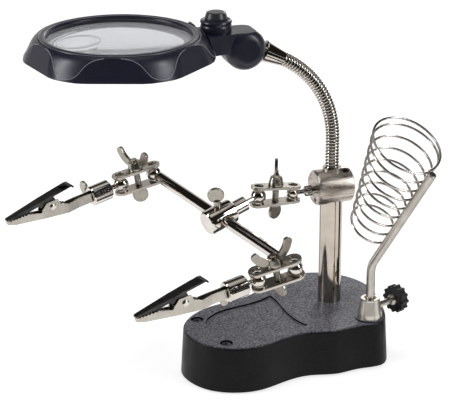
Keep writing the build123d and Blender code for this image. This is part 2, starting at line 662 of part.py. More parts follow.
FRONT_REACH, BACK_REACH, STUD_GAP = 77.2, 74.0, 7.2
STUD_SPIGOT = 4.0
with BuildPart() as cross_rod:
    low, high = -BACK_REACH + STUD_GAP, FRONT_REACH - STUD_GAP
    add(rod_along(ROD, ROD_R, low, high))
    chamfer(cross_rod.edges().filter_by(GeomType.CIRCLE), length=0.5)
    for end in (low, high - STUD_SPIGOT - 0.2):
        add(rod_along(ROD, 1.7 + FIT, end, end + STUD_SPIGOT + 0.2), mode=Mode.SUBTRACT)
save(cross_rod.part, "cross_rod")

for name, reach, side in (("front_rod_stud", FRONT_REACH, 1), ("back_rod_stud", BACK_REACH, -1)):
    place = Plane(CLAMP_CENTRE + ROD_AXIS * (reach * side), x_dir=CLAMP_AXIS, z_dir=ROD_AXIS * -side)
    shoulder, end = STUD_GAP - 0.1, STUD_GAP + STUD_SPIGOT
    foot = [(3.0, 6.3), (3.0, shoulder), (1.7, shoulder), (1.7, end), (0, end)]
    save(ball_stud(place, BALL_R, 1.7, 6.3, foot), name)


# ---------------------------------------------------------------- spring clips
CLIP_SCREW_AT = BARREL_START + 10.5
PIVOT_S, PIVOT_H = 52.5, 5.2
TIP_S = 85.0
TEETH, TOOTH_PITCH, TOOTH_DEPTH = 6, 2.2, 0.7
UPPER_EDGE = 6.9
LOWER_EDGE = 6.5


def toothed(start, edge, down):
    """Corners of a row of teeth from a start towards the tip, cut into an edge; down is -1 or 1."""
    corners = []
    for tooth in range(TEETH):
        s = start + tooth * TOOTH_PITCH
        corners += [(s, edge), (s + TOOTH_PITCH / 2, edge + down * TOOTH_DEPTH)]
    return corners


def jaw_blank(side_plane, side_outline, plan_plane, plan_outline):
    """Sheet jaw before hollowing: its side view met with its plan view."""
    with BuildPart() as blank:
        with BuildSketch(side_plane.offset(-10)):
            with BuildLine():
                Polyline(*side_outline, close=True)
            make_face()
        extrude(amount=20)
        with BuildSketch(plan_plane.offset(-20)):
            with BuildLine():
                Polyline(*plan_outline, close=True)
            make_face()
        extrude(amount=60, mode=Mode.INTERSECT)
    return blank.part


def plan_half(corners):
    """Closed plan outline from one side's (distance, half width) corners."""
    return corners + [(s, -half) for s, half in reversed(corners)]


def clip_arm(name, ball, azimuth, drop, screw_roll):
    """A ball stud, barrel, thumbscrew and spring clip that reach from a ball along an azimuth."""
    ahead = direction(azimuth, -drop)
    side = Vector(0, 0, 1).cross(ahead).normalized()
    up = ahead.cross(side)
    plan = Plane(ball, x_dir=ahead, z_dir=up)
    profile = Plane(ball, x_dir=ahead, z_dir=side * -1)
    axis = Plane(ball, x_dir=up, z_dir=ahead)
    pivot = Plane(at(plan, PIVOT_S, 0, PIVOT_H), x_dir=ahead, z_dir=side * -1)
    away = side * -1 * cos(radians(screw_roll)) - up * sin(radians(screw_roll))
    screw_place = Plane(at(plan, CLIP_SCREW_AT), x_dir=ahead, z_dir=away)
    barrel_end = BARREL_START + BARREL_LENGTH

    shoulder, end = BARREL_START - 0.12, BARREL_START + 4
    foot = [(3.4, 8.4), (3.4, shoulder), (1.9, shoulder), (1.9, end), (0, end)]
    save(ball_stud(axis, BALL_R, 1.7, 8.4, foot), f"{name}_ball_stud")

    with BuildPart() as barrel:
        add(rod_along(axis, BARREL_R, BARREL_START, barrel_end))
        chamfer(barrel.edges().filter_by(GeomType.CIRCLE), length=0.7)
        add(rod_along(axis, 1.9 + FIT, BARREL_START - 1, BARREL_START + 4.2), mode=Mode.SUBTRACT)
        add(rod_along(axis, 4.0, BARREL_START + 6, barrel_end + 1), mode=Mode.SUBTRACT)
        add(rod_along(screw_place, 1.8, 0, 12), mode=Mode.SUBTRACT)
    save(barrel.part, f"{name}_barrel")

    with BuildPart() as thumbscrew:
        add(rod_along(screw_place, 1.7, 4.05, 10))
        add(paddle(turned_place(screw_place, 90), 7.4, 14.4, 5.2, 2.0, 2.3))
    save(thumbscrew.part, f"{name}_thumbscrew")

    shank = barrel_end - 7.8
    lower_side = [
        (shank, -3.0), (shank, 3.0), (34, 3.2), (41, 2.6), (46.6, 5.0), (48.0, 9.0), (56.5, 9.0), (59.8, 6.0),
        (61, 3.9), (69, 5.9), *toothed(70.5, LOWER_EDGE, -1), (TIP_S - 0.6, LOWER_EDGE - 0.2),
        (TIP_S - 0.4, 4.2), (79, 2.4), (42, -3.2), (34, -3.0),
    ]  # fmt: skip
    lower_plan = plan_half([(shank, 2.4), (34, 2.4), (42, 3.3), (60, 3.3), (74, 2.2), (TIP_S + 1, 1.5)])
    with BuildPart() as lower_jaw:
        add(jaw_blank(profile, lower_side, plan, lower_plan))
        mouth = barrel_end - 10
        trough = [(mouth, 1.6), (34, 1.6), (42, 2.5), (60, 2.5), (73, 1.4), (79.5, 1.0)]
        trough_side = [(mouth, -2.2), (34, -2.2), (42, -2.4), (78, 3.2), (79.4, 5.0), (79.4, 20), (mouth, 20)]
        add(jaw_blank(profile, trough_side, plan, plan_half(trough)), mode=Mode.SUBTRACT)
        add(rod_along(pivot, 1.6, -6, 6), mode=Mode.SUBTRACT)
    save(lower_jaw.part, f"{name}_lower_jaw")

    upper_side = [
        (TIP_S, UPPER_EDGE), *reversed(toothed(70.5, UPPER_EDGE, 1)), (69, 7.4), (62, 8.4), (56.5, 4.0),
        (51, 3.6), (49.4, 6), (50.5, 11.6), (37.5, 13.5), (36, 12.4), (35.2, 13.2), (36.8, 15.0), (39, 15.1),
        (TIP_S, 8.0),
    ]  # fmt: skip
    cheek_plan = plan_half([(34, 2.2), (60, 2.2), (TIP_S + 1, 1.5)])
    with BuildPart() as upper_jaw:
        add(jaw_blank(profile, upper_side, plan, cheek_plan))
        hollow_side = [(37, 12.6), (52, 10.7), (78, 7.4), (78, 0), (37, 0)]
        hollow_plan = plan_half([(30, 1.6), (62, 1.6), (78, 0.8)])
        add(jaw_blank(profile, hollow_side, plan, hollow_plan), mode=Mode.SUBTRACT)
        lever_side = [
            (TIP_S - 0.5, 7.3), (TIP_S - 0.5, 8.2), (39, 15.2), (36.8, 15.1), (35.2, 13.2), (36, 12.4),
            (37.5, 14.0), (60, 10.9),
        ]  # fmt: skip
        lever_plan = plan_half([(34, 2.6), (36.5, 4.0), (44, 4.0), (60, 3.6), (TIP_S + 1, 1.7)])
        add(jaw_blank(profile, lever_side, plan, lever_plan))
        add(rod_along(pivot, 1.5 + FIT, -6, 6), mode=Mode.SUBTRACT)
    save(upper_jaw.part, f"{name}_upper_jaw")

    with BuildPart() as pin:
        add(rod_along(pivot, 1.5, -3.5, 3.5))
        for flip in (1, -1):
            head = Plane(pivot.origin, x_dir=ahead, z_dir=pivot.z_dir * flip)
            add(turned(head, [(0, 3.35), (2.2, 3.35), (2.0, 3.9), (1.2, 4.3), (0, 4.3)]))
    save(pin.part, f"{name}_pivot_pin")

    with BuildPart() as spring:
        with BuildSketch(pivot.offset(-1.3)):
            Circle(2.25)
            Circle(1.6, mode=Mode.SUBTRACT)
        extrude(amount=2.6)
        with BuildSketch(pivot.offset(-0.4)):
            with Locations((-5.2, -1.93)):
                Rectangle(10, 0.6)
        extrude(amount=0.8)
    save(spring.part, f"{name}_spring")


FRONT_BALL = CLAMP_CENTRE + ROD_AXIS * FRONT_REACH
BACK_BALL = CLAMP_CENTRE - ROD_AXIS * BACK_REACH
FRONT_X = direction(-22.0, 14.0)
BACK_X = direction(-10.6, 10.0)
FRONT_NORMAL = square_to(FRONT_X, Vector(-0.203, -0.118, 0.972))
BACK_NORMAL = square_to(BACK_X, Vector(-0.169, 0.033, 0.985))
FRONT = Plane(FRONT_BALL - FRONT_X * (PLATE_SPAN / 2), x_dir=FRONT_X, z_dir=FRONT_NORMAL)
BACK = Plane(BACK_BALL - BACK_X * (PLATE_SPAN / 2), x_dir=BACK_X, z_dir=BACK_NORMAL)
plate_pair("front", FRONT, BALL_R, PLATE_GAP, 16.0, 63.0)
plate_pair("back", BACK, BALL_R, PLATE_GAP, -69.0, 13.0)
clip_arm("front_clip", FRONT_BALL - FRONT_X * PLATE_SPAN, 176.8, 8.0, 40.0)
clip_arm("back_clip", BACK_BALL - BACK_X * PLATE_SPAN, 178.4, 10.3, 0.0)

# ---------------------------------------------------------------- soldering iron holder
HOLDER_AZIMUTH = -85.0
SOCKET = Plane((SOCKET_X, SOCKET_Y, BASE_TOP), x_dir=direction(HOLDER_AZIMUTH), z_dir=(0, 0, 1))
SOCKET_HEIGHT = 14.0
BEND_Z = 36.3
LEAN_LENGTH = 91.5
COIL_START, COIL_OPEN_END, COIL_END = 20.0, 89.0, 90.8
COIL_LOW_R, COIL_TOP_R = 13.0, 22.5
OPEN_TURNS = 8
KNOB_AZIMUTH = 6.0
KNOB_Z = 6.6
KNOB_START = 21.4
LOBES = 12

socket_outline = [
    (3.05, 0), (7.4, 0), (8.0, 0.6), (7.7, 4), (6.2, SOCKET_HEIGHT - 1.2), (6.2, SOCKET_HEIGHT - 0.4),
    (5.7, SOCKET_HEIGHT), (HOLDER_ROD_R + 1.4, SOCKET_HEIGHT), (HOLDER_ROD_R + FIT, SOCKET_HEIGHT - 2.2),
    (HOLDER_ROD_R + FIT, 5.9), (3.05, 5.7),
]  # fmt: skip
KNOB = Plane(at(SOCKET, 0, 0, KNOB_Z), x_dir=(0, 0, 1), z_dir=direction(KNOB_AZIMUTH))
with BuildPart() as iron_socket:
    add(turned(SOCKET, socket_outline))
    add(rod_along(KNOB, 2.3, 0, 12), mode=Mode.SUBTRACT)
save(iron_socket.part, "iron_socket")

lean = direction(HOLDER_AZIMUTH) * sin(radians(HOLDER_TILT)) + Vector(0, 0, cos(radians(HOLDER_TILT)))
bend_point = at(SOCKET, 0, 0, BEND_Z)
with BuildPart() as holder_rod:
    with BuildLine():
        FilletPolyline(at(SOCKET, 0, 0, 6.2), bend_point, bend_point + lean * LEAN_LENGTH, radius=16)
    with BuildSketch(Plane(at(SOCKET, 0, 0, 6.2))):
        Circle(HOLDER_ROD_R)
    sweep()
    fillet(holder_rod.edges().sort_by(Axis.Z)[-1], radius=0.8)
save(holder_rod.part, "holder_rod")

COIL_IN = square_to(lean, Vector(0, 0, 1))
COIL_SIDE = lean.cross(COIL_IN)


def coil_point(turn):
    """Point of the wire after some turns. It meets the rod once a turn, and the last turn is closed."""
    share = min(turn / OPEN_TURNS, 1)
    radius = COIL_LOW_R + (COIL_TOP_R - COIL_LOW_R) * share
    closing = (COIL_END - COIL_OPEN_END) * max(turn - OPEN_TURNS, 0)
    along = COIL_START + (COIL_OPEN_END - COIL_START) * share + closing
    gap = HOLDER_ROD_R + WIRE_R + 0.05
    angle = 360 * turn
    foot = bend_point + lean * along
    inward = gap + radius - radius * cos(radians(angle))
    return foot + COIL_IN * inward + COIL_SIDE * (radius * sin(radians(angle)))


with BuildPart() as holder_coil:
    with BuildLine() as wire_path:
        Spline(*[coil_point(step / 12) for step in range(12 * (OPEN_TURNS + 1) + 1)])
    with BuildSketch(Plane(wire_path.line @ 0, z_dir=wire_path.line % 0)):
        Circle(WIRE_R)
    sweep(is_frenet=True)
save(holder_coil.part, "holder_coil")

with BuildPart() as knob_screw:
    add(rod_along(KNOB, 2.25, HOLDER_ROD_R + 0.15, KNOB_START + 4))
    add(turned(KNOB, [(0, 18.6), (2.4, 18.6), (3.6, 20.2), (3.6, KNOB_START), (0, KNOB_START)]))
save(knob_screw.part, "knob_screw")

with BuildPart() as knob:
    with BuildSketch(KNOB.offset(KNOB_START + 0.02)):
        Circle(8.0)
        with PolarLocations(8.0, LOBES):
            Circle(1.2)
        Circle(2.27, mode=Mode.SUBTRACT)
    extrude(amount=5.6)
save(knob.part, "knob")
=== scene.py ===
"""Looks of the helping hands stand: materials, ribbed neck, threads, softened edges, light and camera."""

import json
from math import cos, radians, sin, tau

import bmesh
import bpy
from mathutils import Matrix, Vector


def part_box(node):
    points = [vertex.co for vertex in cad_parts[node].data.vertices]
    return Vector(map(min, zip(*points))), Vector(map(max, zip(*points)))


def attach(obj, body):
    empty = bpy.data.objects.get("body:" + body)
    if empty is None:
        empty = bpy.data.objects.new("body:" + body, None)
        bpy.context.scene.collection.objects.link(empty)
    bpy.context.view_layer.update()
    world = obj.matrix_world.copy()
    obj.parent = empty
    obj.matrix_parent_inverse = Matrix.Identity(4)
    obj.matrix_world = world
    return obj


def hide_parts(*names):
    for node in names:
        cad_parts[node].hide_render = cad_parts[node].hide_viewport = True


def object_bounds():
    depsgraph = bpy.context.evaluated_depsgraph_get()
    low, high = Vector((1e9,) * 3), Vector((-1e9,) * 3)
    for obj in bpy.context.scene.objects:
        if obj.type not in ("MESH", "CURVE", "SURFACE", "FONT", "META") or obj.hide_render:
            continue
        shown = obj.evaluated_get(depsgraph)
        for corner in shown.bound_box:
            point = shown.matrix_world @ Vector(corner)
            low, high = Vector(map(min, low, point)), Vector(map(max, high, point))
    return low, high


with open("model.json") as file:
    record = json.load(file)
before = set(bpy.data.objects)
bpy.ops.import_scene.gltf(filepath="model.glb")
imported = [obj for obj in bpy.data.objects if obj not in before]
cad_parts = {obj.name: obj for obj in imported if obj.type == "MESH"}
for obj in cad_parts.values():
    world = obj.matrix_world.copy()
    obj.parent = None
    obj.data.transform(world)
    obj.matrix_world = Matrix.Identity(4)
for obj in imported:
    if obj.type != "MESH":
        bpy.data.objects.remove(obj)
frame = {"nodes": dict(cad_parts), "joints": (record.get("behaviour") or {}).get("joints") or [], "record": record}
cad_low, cad_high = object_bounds()

NODES = frame["nodes"]
JOINTS = {joint["name"]: joint for joint in frame["joints"]}
BODY_OF = {node: body for body, nodes in frame["record"]["behaviour"]["bodies"].items() for node in nodes}
MM = 0.001


# ---------------------------------------------------------------- material helpers
def new_material(name):
    """Empty node material with its Principled shader."""
    material = bpy.data.materials.new(name)
    material.use_nodes = True
    return material, material.node_tree, material.node_tree.nodes["Principled BSDF"]


def noise(tree, scale, detail, stretch=(1, 1, 1), roughness=0.5, turn=0.0):
    """Noise over the row frame, in cycles per metre, stretched and turned about the vertical."""
    place = tree.nodes.new("ShaderNodeTexCoord")
    mapping = tree.nodes.new("ShaderNodeMapping")
    mapping.inputs["Scale"].default_value = stretch
    mapping.inputs["Rotation"].default_value = (0, 0, radians(turn))
    texture = tree.nodes.new("ShaderNodeTexNoise")
    texture.inputs["Scale"].default_value = scale
    texture.inputs["Detail"].default_value = detail
    texture.inputs["Roughness"].default_value = roughness
    tree.links.new(place.outputs["Object"], mapping.inputs["Vector"])
    tree.links.new(mapping.outputs["Vector"], texture.inputs["Vector"])
    return texture.outputs["Fac"]


def ramp(tree, value, low, high, start=0.35, end=0.65):
    """Colour between two ends of a value."""
    node = tree.nodes.new("ShaderNodeValToRGB")
    node.color_ramp.elements[0].position = start
    node.color_ramp.elements[1].position = end
    node.color_ramp.elements[0].color = (*low, 1)
    node.color_ramp.elements[1].color = (*high, 1)
    tree.links.new(value, node.inputs["Fac"])
    return node.outputs["Color"]


def spread(tree, value, low, high):
    """Noise value stretched between two numbers."""
    node = tree.nodes.new("ShaderNodeMapRange")
    node.inputs["To Min"].default_value = low
    node.inputs["To Max"].default_value = high
    node.inputs["From Min"].default_value = 0.3
    node.inputs["From Max"].default_value = 0.7
    tree.links.new(value, node.inputs["Value"])
    return node.outputs["Result"]


def bump(tree, shader, value, depth, strength=1.0):
    """Fine relief from a value, its depth in metres."""
    node = tree.nodes.new("ShaderNodeBump")
    node.inputs["Distance"].default_value = depth
    node.inputs["Strength"].default_value = strength
    tree.links.new(value, node.inputs["Height"])
    tree.links.new(node.outputs["Normal"], shader.inputs["Normal"])


def metal(name, dark, light, rough, grain, stretch=(1, 1, 1), depth=2e-6):
    """Plated metal: colour and roughness vary a little, with fine marks."""
    material, tree, shader = new_material(name)
    shader.inputs["Metallic"].default_value = 1.0
    cloud = noise(tree, 60, 3)
    marks = noise(tree, grain, 4, stretch)
    tree.links.new(ramp(tree, cloud, dark, light), shader.inputs["Base Color"])
    tree.links.new(spread(tree, marks, *rough), shader.inputs["Roughness"])
    bump(tree, shader, marks, depth)
    return material


def brushed(name, dark, light, stretch, turn):
    """Metal with long brushed streaks, turned about the vertical by an angle."""
    material, tree, shader = new_material(name)
    shader.inputs["Metallic"].default_value = 1.0
    streak = noise(tree, 420, 5, stretch, 0.6, turn)
    tree.links.new(ramp(tree, streak, dark, light, 0.3, 0.72), shader.inputs["Base Color"])
    tree.links.new(spread(tree, streak, 0.22, 0.42), shader.inputs["Roughness"])
    bump(tree, shader, streak, 6e-6, 0.6)
    return material


def plastic(name, dark, light, rough, grain, depth):
    """Moulded plastic: a fine grain, and slight clouding of the gloss."""
    material, tree, shader = new_material(name)
    speck = noise(tree, grain, 5, roughness=0.65)
    cloud = noise(tree, 90, 2)
    tree.links.new(ramp(tree, speck, dark, light, 0.3, 0.7), shader.inputs["Base Color"])
    tree.links.new(spread(tree, cloud, *rough), shader.inputs["Roughness"])
    bump(tree, shader, speck, depth)
    return material


def grain_and_painted_top_light(name, side, top):
    """Black shell: smooth sides near black as painted shade, and a sparkling grain on faces that look up, painted
    lighter there as painted light from above.
    """
    material, tree, shader = new_material(name)
    shader.inputs["Specular IOR Level"].default_value = 0.14
    speck = noise(tree, 750, 6, roughness=0.8)
    facing = tree.nodes.new("ShaderNodeNewGeometry")
    parts = tree.nodes.new("ShaderNodeSeparateXYZ")
    # Painted light: the more a face looks up, the more it takes the lighter speckled colour.
    lit_upward = tree.nodes.new("ShaderNodeMapRange")
    lit_upward.inputs["From Min"].default_value = 0.55
    lit_upward.inputs["From Max"].default_value = 0.95
    mix = tree.nodes.new("ShaderNodeMix")
    mix.data_type = "RGBA"
    tree.links.new(facing.outputs["Normal"], parts.inputs["Vector"])
    tree.links.new(parts.outputs["Z"], lit_upward.inputs["Value"])
    tree.links.new(lit_upward.outputs["Result"], mix.inputs["Factor"])
    tree.links.new(ramp(tree, speck, *side), mix.inputs["A"])
    tree.links.new(ramp(tree, speck, *top, 0.42, 0.60), mix.inputs["B"])
    tree.links.new(mix.outputs["Result"], shader.inputs["Base Color"])
    tree.links.new(spread(tree, noise(tree, 80, 2), 0.36, 0.5), shader.inputs["Roughness"])
    bump(tree, shader, speck, 2.5e-5)
    return material


def glass_with_painted_reflection(name):
    """Lens acrylic, slightly smoky, with a light grey diffuse share that is a painted reflection of bright
    surroundings, and the faintest waviness.
    """
    material, tree, shader = new_material(name)
    shader.inputs["Base Color"].default_value = (0.66, 0.67, 0.69, 1)
    # Painted reflection: the quarter of the shader that is not transmitted is light grey diffuse.
    shader.inputs["Transmission Weight"].default_value = 0.74
    shader.inputs["IOR"].default_value = 1.10
    marks = noise(tree, 900, 2)
    tree.links.new(spread(tree, marks, 0.0, 0.02), shader.inputs["Roughness"])
    bump(tree, shader, noise(tree, 25, 1), 4e-6)
    return material


# ---------------------------------------------------------------- materials
CHROME = metal("chrome", (0.60, 0.555, 0.505), (0.70, 0.655, 0.605), (0.03, 0.09), 900)
POST = metal("warm_chrome", (0.44, 0.385, 0.325), (0.53, 0.475, 0.405), (0.05, 0.12), 700, (6, 6, 0.6))
# Painted reflection: the upper jaws' near-black metal stands for the dark surroundings they reflect.
JAW_PAINTED_DARK_REFLECTION = metal("jaw_steel_painted_dark_reflection", (0.018, 0.018, 0.018), (0.07, 0.068, 0.066), (0.12, 0.24), 900)
NICKEL = metal("satin_nickel", (0.46, 0.425, 0.375), (0.57, 0.53, 0.475), (0.24, 0.36), 1500, depth=1.5e-6)
PADDLE = metal("tumbled_nickel", (0.30, 0.27, 0.23), (0.42, 0.39, 0.335), (0.20, 0.34), 1800, depth=5e-6)
SPRING = metal("spring_steel", (0.22, 0.205, 0.19), (0.34, 0.32, 0.30), (0.10, 0.20), 1200)
# Black metal: the real colour of the base screws, and painted shade in the neck's inner tube.
BLACKENED_AND_SHADE = metal("blackened_steel_and_painted_shade", (0.015, 0.015, 0.017), (0.05, 0.05, 0.055), (0.3, 0.45), 1200)
WIRE = metal("polished_wire", (0.62, 0.585, 0.55), (0.76, 0.72, 0.68), (0.14, 0.26), 900)
SATIN = metal("satin_socket", (0.66, 0.61, 0.54), (0.78, 0.73, 0.66), (0.28, 0.42), 1200)
DRUM = brushed("brushed_drum", (0.34, 0.28, 0.23), (0.86, 0.80, 0.73), (0.06, 0.5, 1.6), 14)
BALLAST = metal("cast_iron", (0.10, 0.10, 0.10), (0.20, 0.19, 0.18), (0.5, 0.75), 500, depth=8e-5)
# Painted light and shade: a lit top and shaded sides of one black shell; the speckle itself is the shell's real
# grain.
SHELL_SHADED_SIDE = ((0.003, 0.003, 0.004), (0.009, 0.009, 0.010))
SHELL_LIT_TOP = ((0.018, 0.018, 0.022), (0.20, 0.197, 0.228))
SHELL = grain_and_painted_top_light("grained_black_painted_lit_top", SHELL_SHADED_SIDE, SHELL_LIT_TOP)
KNOB = plastic("knob_black", (0.012, 0.012, 0.013), (0.022, 0.022, 0.024), (0.38, 0.55), 1200, 1e-5)
GLOSS = plastic("gloss_black", (0.009, 0.010, 0.018), (0.015, 0.016, 0.030), (0.28, 0.36), 900, 4e-6)
BUTTON = plastic("button_black", (0.020, 0.021, 0.026), (0.034, 0.035, 0.042), (0.28, 0.38), 1500, 5e-6)
RUBBER = plastic("rubber", (0.014, 0.014, 0.014), (0.03, 0.03, 0.03), (0.7, 0.85), 1800, 3e-5)
SLEEVE = plastic("battery_sleeve", (0.10, 0.16, 0.19), (0.22, 0.32, 0.37), (0.25, 0.4), 300, 2e-6)
BOARD = plastic("lamp_board", (0.76, 0.77, 0.72), (0.86, 0.87, 0.83), (0.2, 0.3), 600, 3e-6)
PLUG = plastic("black_plug", (0.006, 0.006, 0.006), (0.012, 0.012, 0.012), (0.4, 0.55), 1500, 5e-6)
GLASS = glass_with_painted_reflection("lens_with_painted_reflection")
# Painted highlight: light grey beads along the head's edges, drawn as thin lines of light.
PAINTED_EDGE_HIGHLIGHT = plastic("painted_edge_highlight", (0.14, 0.145, 0.165), (0.24, 0.245, 0.28), (0.25, 0.4), 900, 2e-6)
# Painted reflection: grey lines round the spot lens, standing for the dark arcs its edge shows in the glass.
PAINTED_LENS_LINE = plastic("painted_dark_lens_line", (0.16, 0.16, 0.17), (0.28, 0.28, 0.29), (0.2, 0.3), 900, 2e-6)

FINISH = {
    "base_shell": SHELL, "base_cover": SHELL, "battery_door": SHELL, "rubber_pad": RUBBER,
    "batteries": SLEEVE, "ballast_plate": BALLAST, "base_screws": BLACKENED_AND_SHADE, "post_tube": POST,
    "iron_socket": SATIN, "drum_clamp": DRUM, "drum_set_screw": PLUG, "drum_ball_stud": CHROME,
    "gooseneck_lower": CHROME, "gooseneck_upper": CHROME, "neck_ferrule": CHROME,
    "neck_upper_shell": GLOSS, "neck_lower_shell": GLOSS, "knuckle_pivot": PLUG,
    "lens_ring": GLOSS, "lens_skirt": GLOSS, "main_lens": GLASS, "led_strip": BOARD,
    "switch_collar": GLOSS, "switch_button": BUTTON,
    "clamp_ball_stud": CHROME, "cross_clamp": CHROME, "clamp_thumbscrew": PADDLE, "cross_rod": CHROME,
    "front_rod_stud": CHROME, "back_rod_stud": CHROME, "holder_rod": NICKEL, "holder_coil": WIRE,
    "knob_screw": NICKEL, "knob": KNOB,
}  # fmt: skip
FINISH_BY_ENDING = {
    "_plate": NICKEL, "_wing_nut": PADDLE, "_screw": PADDLE, "_ball_stud": CHROME, "_barrel": CHROME,
    "_thumbscrew": PADDLE, "_lower_jaw": NICKEL, "_upper_jaw": JAW_PAINTED_DARK_REFLECTION, "_pivot_pin": CHROME, "_spring": SPRING,
}  # fmt: skip


def finish_of(name):
    """Material of a CAD node, by its name or its ending."""
    if name in FINISH:
        return FINISH[name]
    return next(material for ending, material in FINISH_BY_ENDING.items() if name.endswith(ending))


for name, node in NODES.items():
    node.data.materials.clear()
    node.data.materials.append(finish_of(name))


# ---------------------------------------------------------------- mesh helpers
def piece(name, points, faces, material, body):
    """New mesh piece, smooth, riding on a body."""
    mesh = bpy.data.meshes.new(name)
    mesh.from_pydata([tuple(point) for point in points], [], faces)
    mesh.update()
    mesh.materials.append(material)
    mesh.polygons.foreach_set("use_smooth", [True] * len(mesh.polygons))
    obj = bpy.data.objects.new(name, mesh)
    bpy.context.scene.collection.objects.link(obj)
    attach(obj, body)
    return obj


def tube_mesh(centres, frames, radius, around, closed=False):
    """Round tube through centres: points and faces, capped at both ends or joined into a loop."""
    points, faces = [], []
    for centre, (side, up) in zip(centres, frames):
        for step in range(around):
            angle = tau * step / around
            points.append(centre + side * (radius * cos(angle)) + up * (radius * sin(angle)))
    rings = len(centres)
    for ring in range(rings if closed else rings - 1):
        here, onward = ring * around, (ring + 1) % rings * around
        for step in range(around):
            beside = (step + 1) % around
            faces.append((here + step, here + beside, onward + beside, onward + step))
    if not closed:
        faces.append(tuple(reversed(range(around))))
        faces.append(tuple((rings - 1) * around + step for step in range(around)))
    return points, faces


# ---------------------------------------------------------------- gooseneck, in mm
NECK_R, WIRE_R, WIRE_PITCH = 4.7, 0.98, 2.1
# Steps in each turn of the wire, rings along the core, and sides of both.
WIRE_STEPS, WIRE_SIDES = 26, 8
CORE_RINGS, CORE_SIDES = 24, 32
# Heights of the neck's foot and of the start of its bend.
NECK_FROM, BEND_FROM = 116.9, 144.0
BEND_R, BEND_ANGLE, REACH_AZIMUTH = 62.7, 64.0, 164.0
BEND_LENGTH = BEND_R * radians(BEND_ANGLE)
REACH = Vector((cos(radians(REACH_AZIMUTH)), sin(radians(REACH_AZIMUTH)), 0))
SIDEWAYS = Vector((-REACH.y, REACH.x, 0))


def neck_frame(along):
    """Centre and cross directions of the neck at a length from the start of its bend."""
    if along <= 0:
        return Vector((0, 0, BEND_FROM + along)), (SIDEWAYS, REACH * -1)
    angle = along / BEND_R
    rise = Vector((0, 0, BEND_FROM)) + Vector((0, 0, BEND_R * sin(angle)))
    centre = rise + REACH * (BEND_R * (1 - cos(angle)))
    inward = REACH * -cos(angle) + Vector((0, 0, sin(angle)))
    return centre, (SIDEWAYS, inward)


def painted_shade_neck_core(name, start, end, body):
    """Smooth black tube along the neck, painted shade seen between the turns of its wire."""
    places = [neck_frame(start + (end - start) * ring / CORE_RINGS) for ring in range(CORE_RINGS + 1)]
    centres = [centre * MM for centre, _ in places]
    frames = [cross for _, cross in places]
    points, faces = tube_mesh(centres, frames, (NECK_R - WIRE_R) * MM, CORE_SIDES)
    return piece(name, points, faces, BLACKENED_AND_SHADE, body)


def wound_wire(name, start, end, body):
    """Round wire wound along the neck, its turns nearly touching."""
    steps = int((end - start) / WIRE_PITCH * WIRE_STEPS)
    centres, frames = [], []
    for step in range(steps + 1):
        along = start + (end - start) * step / steps
        centre, (side, up) = neck_frame(along)
        angle = tau * along / WIRE_PITCH
        outward = side * cos(angle) + up * sin(angle)
        centres.append((centre + outward * (NECK_R - WIRE_R)) * MM)
        frames.append((outward, side.cross(up)))
    points, faces = tube_mesh(centres, frames, WIRE_R * MM, WIRE_SIDES)
    piece(name, points, faces, CHROME, body)


# Each neck part: a black tube inside as painted shade, and the wound chrome wire.
for part, start, end in (("lower", NECK_FROM - BEND_FROM, 0.0), ("upper", 0.0, BEND_LENGTH)):
    core = painted_shade_neck_core(f"painted_shade_neck_core_{part}", start, end, f"neck_{part}")
    wound_wire(f"neck_wire_{part}", start, end, f"neck_{part}")
    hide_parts(f"gooseneck_{part}")

# ---------------------------------------------------------------- screw threads, in mm
THREAD_R, THREAD_PITCH, RIDGE_R = 1.95, 0.9, 0.28
# Steps in each turn of the ridge, and its sides.
THREAD_STEPS, RIDGE_SIDES = 16, 6
# Length of the thread on each side of its nut's centre.
THREAD_REACH = {"middle": 3.8, "front": 4.4, "back": 4.4}


def thread(pair, reach):
    """Helical ridge round a clamp's screw, as far above its nut's centre as below it."""
    nut, screw = JOINTS[f"{pair}_nut_spin"], f"{pair}_screw"
    centre = Vector(nut["pos_m"])
    axis = Vector(nut["axis"]).normalized()
    side = axis.orthogonal().normalized()
    other = axis.cross(side)
    steps = int(2 * reach / THREAD_PITCH * THREAD_STEPS)
    centres, frames = [], []
    for step in range(steps + 1):
        along = -reach + 2 * reach * step / steps
        angle = tau * along / THREAD_PITCH
        outward = side * cos(angle) + other * sin(angle)
        centres.append(centre + (outward * THREAD_R + axis * along) * MM)
        frames.append((outward, axis))
    points, faces = tube_mesh(centres, frames, RIDGE_R * MM, RIDGE_SIDES)
    piece(f"{pair}_thread", points, faces, PADDLE, BODY_OF[screw])


for pair, reach in THREAD_REACH.items():
    thread(pair, reach)

# ---------------------------------------------------------------- painted highlight beads on the edges of the head
# Least turn between the faces of a sharp edge, in degrees, and least points of a chain that gets a bead.
SHARP_ANGLE, LEAST_POINTS = 8, 8
# A chain whose ends are nearer than this closes into a loop.
LOOP_GAP = 3 * MM
BEAD_SIDES, SMOOTHINGS = 8, 2
SKIRT_BEAD, RIM_BEAD = 0.22 * MM, 0.2 * MM
RIM_POINTS = 120
FOOT_MARGIN, TOP_MARGIN, RING_REACH = 1.2 * MM, 0.3 * MM, 50.1 * MM
KNUCKLE_REACH, KNUCKLE_TOP = 68 * MM, 0.2 * MM
LENS_CENTRE = Vector([(low + high) / 2 for low, high in zip(*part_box("lens_ring"))])
skirt_low, skirt_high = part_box("lens_skirt")
neck_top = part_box("neck_upper_shell")[1][2]


def sharp_links(mesh, keep):
    """Neighbours of each kept point along the edges where the faces turn by more than the sharp angle."""
    links = {}
    for edge in mesh.edges:
        folded = len(edge.link_faces) == 2 and edge.calc_face_angle(0) > radians(SHARP_ANGLE)
        if folded and all(keep(point.co) for point in edge.verts):
            first, second = edge.verts
            links.setdefault(first.index, []).append(second.index)
            links.setdefault(second.index, []).append(first.index)
    return links


